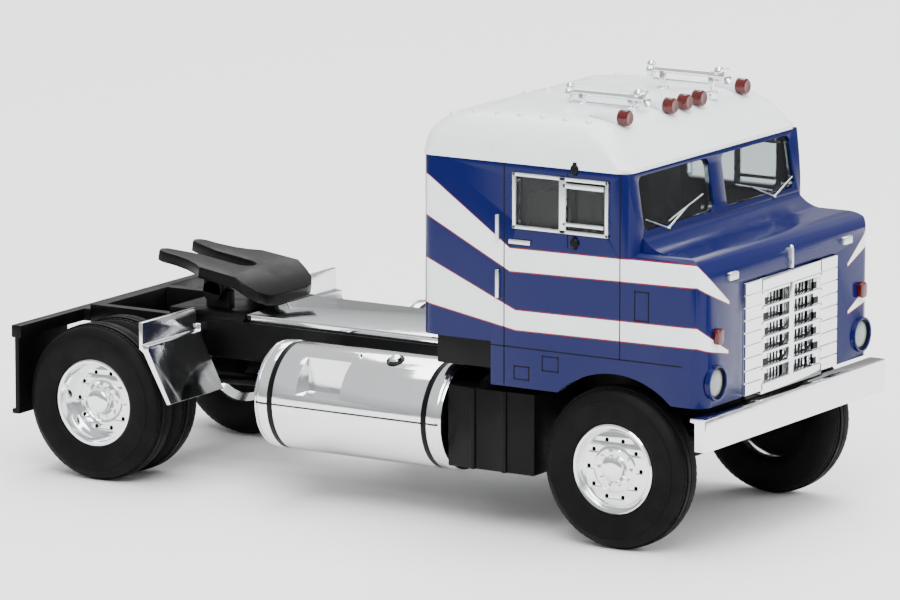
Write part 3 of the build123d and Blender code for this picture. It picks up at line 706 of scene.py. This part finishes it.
def lamp_housings(high):
    """Side place, length and rear radius of each roof lamp's housing."""
    outer = high.y - 0.55
    return ((-outer, 2.6, 0.12), (-2.2, 1.3, 0.36), (0.0, 1.3, 0.36), (2.2, 1.3, 0.36), (outer, 2.6, 0.12))


# Outlines of a horn's parts as (radius, distance along the axis)
HORN_BELL = [(0, -0.1), (0.26, -0.1), (0.3, 0.5), (0.38, 0.9), (0.5, 1.2), (0.62, 1.42), (0.66, 1.5),
             (0.6, 1.55), (0.5, 1.48), (0.3, 1.36), (0, 1.32)]
HORN_DRIVER = [(0, 0), (0.4, 0.02), (0.52, 0.1), (0.52, 0.34), (0.42, 0.46), (0, 0.5)]
HORN_FOOT = [(0, -0.3), (0.5, -0.3), (0.5, 0.16), (0.38, 0.26), (0, 0.26)]


class TRACTOR_OT_horns(bpy.types.Operator):
    """Two plated air horns on feet, each with a bell, a driver and an air line"""
    bl_idname = "tractor.horns"
    bl_label = "Air horns"

    def execute(self, context):
        roof_top = ROOF_LOW.z + 3.4
        for name in ("air_horn_right", "air_horn_left"):
            low, high = box_mm(name)
            y, z = (low.y + high.y) / 2, high.z - 0.7
            rear, front, line = low.x, high.x, z - 0.55
            bm = bmesh.new()
            tube(bm, [(rear + 0.5, y, z, 0.24), (front - 1.5, y, z, 0.26)], sides=24)
            lathe(bm, HORN_BELL, (front - 1.55, y, z - 0.04), (1, 0, 0), turns=28)
            lathe(bm, HORN_DRIVER, (rear + 0.1, y, z - 0.1), (1, 0, 0), turns=24)
            ball(bm, (rear + 0.35, y, z + 0.36), 0.34)
            ball(bm, (front - 0.75, y, z + 0.28), 0.42)
            ball(bm, (front - 0.75, y, z - 0.42), 0.3)
            tube(bm, [(rear + 0.3, y, z - 0.2, 0.17), (rear + 0.32, y, line, 0.17),
                      (rear + 0.5, y, line - 0.16, 0.16), (rear + 0.9, y, line - 0.2, 0.15),
                      (front - 1.4, y, line - 0.2, 0.13)], sides=10)
            for x in (rear + 1.4, front - 1.4):
                slab(bm, (x - 0.2, y - 0.24, roof_top - 0.3), (x + 0.2, y + 0.24, z), 0.05)
                lathe(bm, HORN_FOOT, (x, y, roof_top), (0, 0, 1), turns=20)
            drawn_piece(name + "_plated", bm, "truck", "chrome_plate", name, angle=45)
        return {"FINISHED"}


# Fine lines on the cab's side as (rear, bottom, front, top): doors, belt and the window post's line
PANEL_LINES = [(13.45, 11.8, 13.45, 28.8), (23.65, 14.7, 23.65, 28.8), (7.0, 14.75, 29.0, 14.75),
               (19.05, 22.9, 19.05, 24.0), (19.05, 28.3, 19.05, 28.8)]
# Pressed rectangles in the same columns: the vent and two recesses under the belt
PANEL_FRAMES = [(24.95, 17.9, 26.15, 20.1), (14.35, 12.3, 15.65, 13.3), (16.85, 13.2, 18.25, 14.3)]
MIRROR_X, MIRROR_HEIGHTS = 19.7, (28.95, 23.3)


class TRACTOR_OT_cab(bpy.types.Operator):
    """The cab shell with its printed stripes, its windows' bright frames and its small trim"""
    bl_idname = "tractor.cab"
    bl_label = "Cab shell"

    def execute(self, context):
        moulded("cab_body", 0.05)
        self.frame_windows()
        self.mark_panels()
        moulded("side_handles", 0.06)
        for node in ("windscreen", "side_glass"):
            NODES[node].data.materials.clear()
            NODES[node].data.materials.append(finish("clear"))
        self.add_wipers()
        bm = bmesh.new()
        for side in SIDES:
            for z in MIRROR_HEIGHTS:
                lathe(bm, [(0, -0.1), (0.36, -0.1), (0.36, 0.12), (0.26, 0.24), (0, 0.26)],
                      (MIRROR_X, side * CAB_HIGH.y, z), (0, side, 0), turns=20)
                y = span(side, CAB_HIGH.y - 0.05, CAB_HIGH.y + 0.15)
                slab(bm, (MIRROR_X - 0.15, y[0], z - 0.5), (MIRROR_X + 0.15, y[1], z + 0.5), 0.04)
        drawn_piece("mirror_sockets", bm, "truck", "black_chassis")
        bm = bmesh.new()
        slab(bm, (CAB_HIGH.x - 0.6, -0.12, 20.5), (CAB_HIGH.x + 0.02, 0.12, 22.0), 0.03)
        ball(bm, (CAB_HIGH.x - 0.15, 0, 22.1), 0.17)
        drawn_piece("nose_trim", bm, "truck", "silver_print")
        return {"FINISHED"}

    def add_wipers(self):
        """Two wipers a side, lying on panes that lean back as they rise."""
        foot_x, foot_z, lean = ROOF_HIGH.x + 0.77, 24.05, 0.155

        def on_pane(y, z):
            return foot_x - (z - foot_z) * lean, y, z
        bm = bmesh.new()
        for side in SIDES:
            pivot, elbow = on_pane(side * 8.1, 24.2), on_pane(side * 5.1, 25.35)
            tube(bm, [(*pivot, 0.1), (*elbow, 0.07)], sides=8)
            tube(bm, [(*on_pane(side * 7.9, 24.72), 0.07), (*on_pane(side * 2.5, 25.95), 0.07)], sides=8)
            tube(bm, [(*pivot, 0.08), (*on_pane(side * 11.2, 25.3), 0.06)], sides=8)
            ball(bm, pivot, 0.17)
        drawn_piece("wipers", bm, "truck", "silver_print")

    def frame_windows(self):
        """A thin bright frame round each side window, with its post and the bars of its front pane."""
        low, high = box_mm("window_frames")
        bar, post, pane_front = 0.3, 18.65, high.x - 0.4
        bars = ((low.x, high.x, high.z - bar, high.z), (low.x, high.x, low.z, low.z + bar),
                (low.x, low.x + bar, low.z, high.z), (high.x - bar, high.x, low.z, high.z),
                (post - bar, post + bar, low.z, high.z), (post, pane_front, high.z - 0.85, high.z - 0.45),
                (post, pane_front, low.z + 0.6, low.z + 0.9))
        bm = bmesh.new()
        for side in SIDES:
            y = span(side, CAB_HIGH.y - 0.1, high.y)
            for x0, x1, z0, z1 in bars:
                slab(bm, (x0, y[0], z0), (x1, y[1], z1), 0.06)
        drawn_piece("window_frames_silver", bm, "truck", "silver_print", "window_frames")

    def mark_panels(self):
        """The fine dark lines of the doors, the belt and the pressed panels."""
        half, proud = 0.045, 0.012
        lines = list(PANEL_LINES)
        for x0, z0, x1, z1 in PANEL_FRAMES:
            lines += [(x0, z0, x0, z1), (x1, z0, x1, z1), (x0, z0, x1, z0), (x0, z1, x1, z1)]
        bm = bmesh.new()
        for side in SIDES:
            y = span(side, CAB_HIGH.y - 0.05, CAB_HIGH.y + proud)
            for x0, z0, x1, z1 in lines:
                slab(bm, (x0 - half, y[0], z0 - half), (x1 + half, y[1], z1 + half))
        drawn_piece("panel_lines", bm, "truck", "black_chassis")


class TRACTOR_OT_front(bpy.types.Operator):
    """Grille, bumper and the lamps of the front"""
    bl_idname = "tractor.front"
    bl_label = "Front"

    def execute(self, context):
        self.make_grille()
        moulded("front_bumper", 0.08)
        moulded("corner_lamps", 0.06)
        bm = bmesh.new()
        for side in SIDES:
            y = span(side, 8.2, 9.5)
            slab(bm, (CAB_HIGH.x - 0.6, y[0], 20.95), (CAB_HIGH.x - 0.02, y[1], 21.55), 0.08)
        drawn_piece("turn_lamp_lenses", bm, "truck", "silver_print", "turn_lamps")
        self.make_headlamps()
        return {"FINISHED"}

    def make_headlamps(self):
        """A shallow domed lens in a dark ring, on each side of the nose."""
        low, high = box_mm("headlamps")
        radius, proud = (high.z - low.z) / 2, high.x - low.x
        z = (high.z + low.z) / 2
        lens = [(0, 0), (radius, 0), (radius, 0.42), (radius * 0.86, 0.5), (radius * 0.55, 0.58), (0, proud)]
        ring = [(radius - 0.12, 0.3), (radius - 0.1, proud), (radius + 0.16, proud - 0.04),
                (radius + 0.2, 0.3)]
        lenses, rings = bmesh.new(), bmesh.new()
        for side in SIDES:
            place = (low.x, side * (high.y - radius), z)
            lathe(lenses, lens, place, (1, 0, 0), turns=40)
            lathe(rings, ring, place, (1, 0, 0), turns=40, loop=True)
        drawn_piece("headlamp_lenses", lenses, "truck", "lamp_clear", "headlamps")
        drawn_piece("headlamp_rings", rings, "truck", "black_chassis")

    def make_grille(self):
        """A plated surround with six rows of slatted pockets each side of a post, over a black back of painted
        shade.
        """
        low, high = box_mm("grille")
        front, reach, lintel, planks_from = high.x, 3.55, 4.7, 4.5
        rows, slat_count, slat_pitch, planks = 6, 6, 0.5, 9
        top, bottom = high.z - 1.0, low.z + 0.65
        pitch = (top - bottom) / rows
        plank_pitch = (high.z - low.z) / planks
        upright = Matrix(((0, 1, 0, 0), (0, 0, 1, 0), (1, 0, 0, 0), (0, 0, 0, 1)))
        across = Matrix(((0, -1, 0, 0), (1, 0, 0, 0), (0, 0, 1, 0), (0, 0, 0, 1)))
        plank = grown(slat_tree("grille_planks"), "chrome_plate", {
            "Count": planks, "Pitch": plank_pitch, "Size": (plank_pitch - 0.1, 0.16, high.y - planks_from)})
        slats = grown(slat_tree("grille_slats"), "chrome_plate", {
            "Count": slat_count, "Pitch": slat_pitch, "Size": (0.2, 0.2, pitch - 0.3)})
        plates, shade = bmesh.new(), bmesh.new()
        slab(plates, (low.x, -lintel, top), (front, lintel, high.z), 0.05)
        slab(plates, (low.x, -lintel, low.z - 0.25), (front, lintel, bottom), 0.05)
        slab(plates, (low.x, -0.35, bottom - 0.1), (front, 0.35, top + 0.1), 0.05)
        # the black back plate is painted shade, standing in for the dark depth of the plated pockets
        slab(shade, (low.x - 0.1, -reach - 1, bottom - 0.1), (front - 0.95, reach + 1, top + 0.1))
        for side in SIDES:
            edge, bar = span(side, reach, high.y), span(side, 0.3, 4.7)
            slab(plates, (low.x, edge[0], low.z), (front - 0.1, edge[1], high.z), 0.05)
            place = (front - 0.08, side * (high.y + planks_from) / 2, low.z + plank_pitch / 2)
            stamp(plates, plank, Matrix.Translation(place) @ upright)
            for row in range(rows):
                z = top - (row + 1) * pitch
                slab(plates, (front - 0.6, bar[0], z + pitch - 0.24), (front, bar[1], z + pitch), 0.04)
                place = (front - 0.86, side * 1.95 - slat_pitch * (slat_count - 1) / 2, z + pitch / 2 - 0.12)
                stamp(plates, slats, Matrix.Translation(place) @ across)
                # painted shade: a black strip runs out from each pocket over the side field, and the middle
                # pockets' strips run a little further out than their neighbours
                slot = span(side, reach, reach + 0.45 + 0.25 * (row % 3 == 1))
                slab(shade, (front - 0.3, slot[0], z + 0.05), (front - 0.085, slot[1], z + pitch * 0.5))
        drawn_piece("grille_plated", plates, "truck", "chrome_plate", "grille")
        drawn_piece("grille_painted_shade", shade, "truck", "black_chassis")


class TRACTOR_OT_chassis(bpy.types.Operator):
    """Frame, axles, springs, boxes, fenders, flaps and the deck, with moulded edges"""
    bl_idname = "tractor.chassis"
    bl_label = "Chassis"

    def execute(self, context):
        for node in ("chassis_frame", "engine_block", "drive_shaft", "rear_axle_housing", "rear_springs",
                     "front_axle_beam", "front_springs", "battery_box_right", "battery_box_left",
                     "rear_mudflaps", "cab_floor", "front_axle_pin", "rear_axle_pin", "deck_plate",
                     "quarter_fender_right", "quarter_fender_left"):
            moulded(node, 0.06)
        return {"FINISHED"}


class TRACTOR_OT_tanks(bpy.types.Operator):
    """Plated tanks with their straps, end rings, caps and fold lines"""
    bl_idname = "tractor.tanks"
    bl_label = "Fuel tanks"

    def execute(self, context):
        radius, edge_y, z = 4.25, 14.0, 8.17
        lip = [(radius - 0.35, -0.05), (radius - 0.3, 0.1), (radius - 0.12, 0.14), (radius - 0.04, 0.02),
               (radius - 0.04, -0.1), (radius - 0.35, -0.1)]
        dome = [(0, 0.13), (2.0, 0.1), (3.3, 0.02), (3.6, -0.05), (0, -0.06)]
        cap = [(0, 0), (0.48, 0), (0.5, 0.2), (0.4, 0.34), (0, 0.38)]
        cap_ring = [(0.5, 0), (0.52, 0.12), (0.72, 0.12), (0.74, 0)]
        for side, tail in ((-1, "right"), (1, "left")):
            moulded("fuel_tank_" + tail, 0.05, angle=28)
            moulded("tank_straps_" + tail, 0.03)
            low, high = box_mm("fuel_tank_" + tail)
            y = side * (edge_y - radius)
            trim, lines = bmesh.new(), bmesh.new()
            for end, out in ((low.x, -1), (high.x, 1)):
                lathe(trim, lip, (end, y, z), (out, 0, 0), turns=72, loop=True)
                lathe(trim, dome, (end, y, z), (out, 0, 0), turns=48)
            upward = Vector((0, side * 0.34, 0.94))
            seat = Vector((high.x - 5.6, y, z)) + upward * (radius - 0.05)
            lathe(trim, cap, seat, upward, turns=28)
            ball(trim, Vector((high.x - 8.9, y, z)) + upward * radius, 0.24)
            drawn_piece("tank_trim_" + tail, trim, "truck", "chrome_plate")
            lathe(lines, cap_ring, seat, upward, turns=28, loop=True)
            fold = span(side, edge_y - 0.01, edge_y - 0.2)
            slab(lines, (low.x + 0.05, fold[0], z - 0.055), (high.x - 0.05, fold[1], z + 0.055))
            drawn_piece("tank_lines_" + tail, lines, "truck", "black_chassis")
        return {"FINISHED"}


# The fork's left half and its throat as (ahead of the pivot, to the side), from the tip round to the front
FORK_EDGE = [(-6.45, 2.4), (-6.2, 2.95), (-5.7, 3.15), (-4.4, 3.16), (-3.1, 3.42), (-2.1, 3.9), (-1.2, 4.6),
             (2.2, 4.6), (2.9, 4.5), (4.1, 3.9), (4.65, 3.1), (4.8, 2.2)]
FORK_THROAT = [(1.0, 0.0), (0.92, 0.38), (0.71, 0.71), (0.38, 0.92), (0.0, 1.0), (-3.4, 1.0), (-5.7, 1.65),
               (-6.2, 1.85)]


class TRACTOR_OT_coupling(bpy.types.Operator):
    """The coupling's base and its forked plate"""
    bl_idname = "tractor.coupling"
    bl_label = "Coupling"

    def execute(self, context):
        moulded("coupling_base", 0.08)
        self.make_fork()
        return {"FINISHED"}

    def make_fork(self):
        """The forked plate: curved horns round the throat, a broad body and a ramp at its front."""
        top, thick, rest_tilt = 1.75, 0.9, 8
        ramp_x, ramp_fall, lug_y = 2.2, 0.46, 3.9
        outline = FORK_EDGE + [(x, -y) for x, y in reversed(FORK_EDGE)]
        outline += [(x, -y) for x, y in reversed(FORK_THROAT)] + FORK_THROAT[1:]
        bm = bmesh.new()
        face = bm.faces.new([bm.verts.new((x, y, top - thick)) for x, y in outline])
        raised = bmesh.ops.extrude_face_region(bm, geom=[face])["geom"]
        corners = [item for item in raised if isinstance(item, bmesh.types.BMVert)]
        bmesh.ops.translate(bm, vec=(0, 0, thick), verts=corners)
        bmesh.ops.bisect_plane(bm, geom=[*bm.verts, *bm.edges, *bm.faces], plane_co=(ramp_x, 0, 0),
                               plane_no=(1, 0, 0))
        for vert in bm.verts:
            vert.co.z -= max(0.0, vert.co.x - ramp_x) * ramp_fall
        bmesh.ops.recalc_face_normals(bm, faces=bm.faces)
        sharp = [edge for edge in bm.edges if edge.is_manifold and edge.calc_face_angle() > 1.0
                 and abs(edge.verts[0].co.z - edge.verts[1].co.z) < 0.5]
        bmesh.ops.bevel(bm, geom=sharp, offset=0.12, segments=2, affect="EDGES", profile=0.5)
        for side in SIDES:
            y = span(side, lug_y - 0.35, lug_y + 0.35)
            slab(bm, (-0.85, y[0], -0.2), (0.85, y[1], top - thick + 0.05), 0.05)
            for r, half, at, turns in ((0.85, 0.35, lug_y, 28), (0.38, 0.62, 3.28, 20)):
                lathe(bm, [(0, -half), (r, -half), (r, half), (0, half)], (0, side * at, 0), turns=turns)
        pivot = Vector(JOINTS["coupling_tilt"]["pos_m"]) / MM
        place = Matrix.Translation(pivot) @ Matrix.Rotation(math.radians(rest_tilt), 4, "Y")
        bmesh.ops.transform(bm, matrix=place, verts=bm.verts)
        drawn_piece("coupling_fork", bm, "coupling", "black_chassis", "coupling_plate")


class TRACTOR_OT_interior(bpy.types.Operator):
    """Seats, bunk, dashboard and steering wheel"""
    bl_idname = "tractor.interior"
    bl_label = "Interior"

    def execute(self, context):
        moulded("seats", 0.2, steps=3)
        for node, edge in (("bunk", 0.2), ("dashboard", 0.15), ("steering_wheel", 0.04)):
            moulded(node, edge)
        return {"FINISHED"}


class TractorProps(bpy.types.PropertyGroup):
    """Sizes and colours that a user may change."""
    tread_blocks: IntProperty(
        name="Tread blocks", description="Blocks on each shoulder of a tyre", default=72, min=8, max=90)
    wheel_nuts: IntProperty(
        name="Wheel nuts", description="Nuts on each wheel", default=10, min=4, max=12)
    rivet_row: FloatProperty(
        name="Rivet rows", description="Distance of the outer rows from the middle, in mm", default=10.6)
    rivet_count: IntProperty(
        name="Rivets", description="Most rivets in a row", default=8, min=1, max=12)
    floor_colour: FloatVectorProperty(
        name="Floor", description="Colour of the studio floor", subtype="COLOR", size=3,
        default=linear("#F8F8F6")[:3], min=0.0, max=1.0)
    floor_size: FloatProperty(
        name="Floor size", description="Edge of the square floor", default=2.0, unit="LENGTH")
    camera_azimuth: FloatProperty(
        name="Camera azimuth", description="Angle of the view round the model",
        default=math.radians(32.0), subtype="ANGLE")
    camera_elevation: FloatProperty(
        name="Camera elevation", description="Angle of the view above the floor",
        default=math.radians(10.78), subtype="ANGLE")
    camera_distance: FloatProperty(
        name="Camera distance", description="Distance from the camera to the model's middle",
        default=0.5615, unit="LENGTH")
    camera_lens: FloatProperty(
        name="Lens", description="Focal length for a 36 mm wide sensor", default=286.2, unit="CAMERA")


class TRACTOR_OT_stage(bpy.types.Operator):
    """Set the floor, the lights and the camera"""
    bl_idname = "tractor.stage"
    bl_label = "Stage"

    def execute(self, context):
        props = context.scene.tractor
        self.make_floor(context, props)
        self.make_lights(context)
        self.make_camera(context, props)
        return {"FINISHED"}

    def make_floor(self, context, props):
        mesh = bpy.data.meshes.new("floor")
        half = props.floor_size / 2
        corners = [(-half, -half, 0), (half, -half, 0), (half, half, 0), (-half, half, 0)]
        mesh.from_pydata(corners, [], [range(4)])
        floor = bpy.data.objects.new("floor", mesh)
        context.scene.collection.objects.link(floor)
        material, tree, shader, _ = new_material("studio_card")
        feed(tree, shader, {"Base Color": (*props.floor_colour, 1.0), "Roughness": 0.85})
        mesh.materials.append(material)

    def make_lights(self, context):
        world = bpy.data.worlds.new("studio")
        world.use_nodes = True
        context.scene.world = world
        tree = world.node_tree
        tree.nodes.clear()
        # a dim horizon under a bright ceiling gives the plated parts their dark and light bands
        way = add(tree, "ShaderNodeTexCoord").outputs["Generated"]
        up = add(tree, "ShaderNodeSeparateXYZ", {0: way}).outputs["Z"]
        rise = add(tree, "ShaderNodeMapRange", {"Value": up, "From Min": 0.0, "From Max": 0.4,
                                                "To Min": 0.45, "To Max": 1.0}).outputs[0]
        light = add(tree, "ShaderNodeBackground", {"Color": linear("#F4F5F6"), "Strength": rise})
        add(tree, "ShaderNodeOutputWorld", {"Surface": light.outputs[0]})
        # place, target, edge and power of each soft box
        boxes = [
            ("key", (0.25, -0.45, 0.6), (0, 0, 0.015), 0.5, 7.5),
            ("top", (0.0, 0.1, 0.8), (0, 0, 0.015), 0.6, 6.5),
            ("back", (-0.25, 0.5, 0.55), (-0.15, 0.28, 0), 0.4, 2.5),
            ("fill", (0.6, 0.25, 0.35), (0, 0, 0.015), 0.4, 2.5),
        ]
        for name, place, target, edge, power in boxes:
            data = bpy.data.lights.new(name, "AREA")
            data.size = edge
            data.energy = power
            lamp = bpy.data.objects.new(name, data)
            lamp.location = place
            lamp.rotation_euler = (Vector(target) - Vector(place)).to_track_quat("-Z", "Y").to_euler()
            context.scene.collection.objects.link(lamp)

    def make_camera(self, context, props):
        data = bpy.data.cameras.new("camera")
        data.sensor_width = 36
        data.lens = props.camera_lens
        data.clip_start = 0.01
        data.clip_end = 20
        camera = bpy.data.objects.new("camera", data)
        a, e = props.camera_azimuth, props.camera_elevation
        back = Vector((math.sin(a) * math.cos(e), -math.cos(a) * math.cos(e), math.sin(e)))
        target = Vector((0.00015, 0, 0.01486))
        data.shift_x = 0.0042
        camera.location = target + back * props.camera_distance
        camera.rotation_euler = (-back).to_track_quat("-Z", "Y").to_euler()
        context.scene.collection.objects.link(camera)
        context.scene.camera = camera


OPERATORS = (TRACTOR_OT_cab, TRACTOR_OT_roof, TRACTOR_OT_horns, TRACTOR_OT_front, TRACTOR_OT_interior,
             TRACTOR_OT_chassis, TRACTOR_OT_tanks, TRACTOR_OT_coupling, TRACTOR_OT_tyres, TRACTOR_OT_rims,
             TRACTOR_OT_stage)


class TRACTOR_PT_panel(bpy.types.Panel):
    """The steps that finish the model, in order"""
    bl_idname = "TRACTOR_PT_panel"
    bl_label = "Model tractor unit"
    bl_space_type = "VIEW_3D"
    bl_region_type = "UI"
    bl_category = "Tractor"

    def draw(self, context):
        for operator in OPERATORS:
            self.layout.operator(operator.bl_idname)
        for name in TractorProps.__annotations__:
            self.layout.prop(context.scene.tractor, name)


CLASSES = (TractorProps, *OPERATORS, TRACTOR_PT_panel)


def register():
    for cls in CLASSES:
        bpy.utils.register_class(cls)
    bpy.types.Scene.tractor = PointerProperty(type=TractorProps)


def unregister():
    del bpy.types.Scene.tractor
    for cls in reversed(CLASSES):
        bpy.utils.unregister_class(cls)


def main():
    register()
    for operator in OPERATORS:
        group, name = operator.bl_idname.split(".")
        getattr(getattr(bpy.ops, group), name)()


if __name__ == "__main__":
    main()
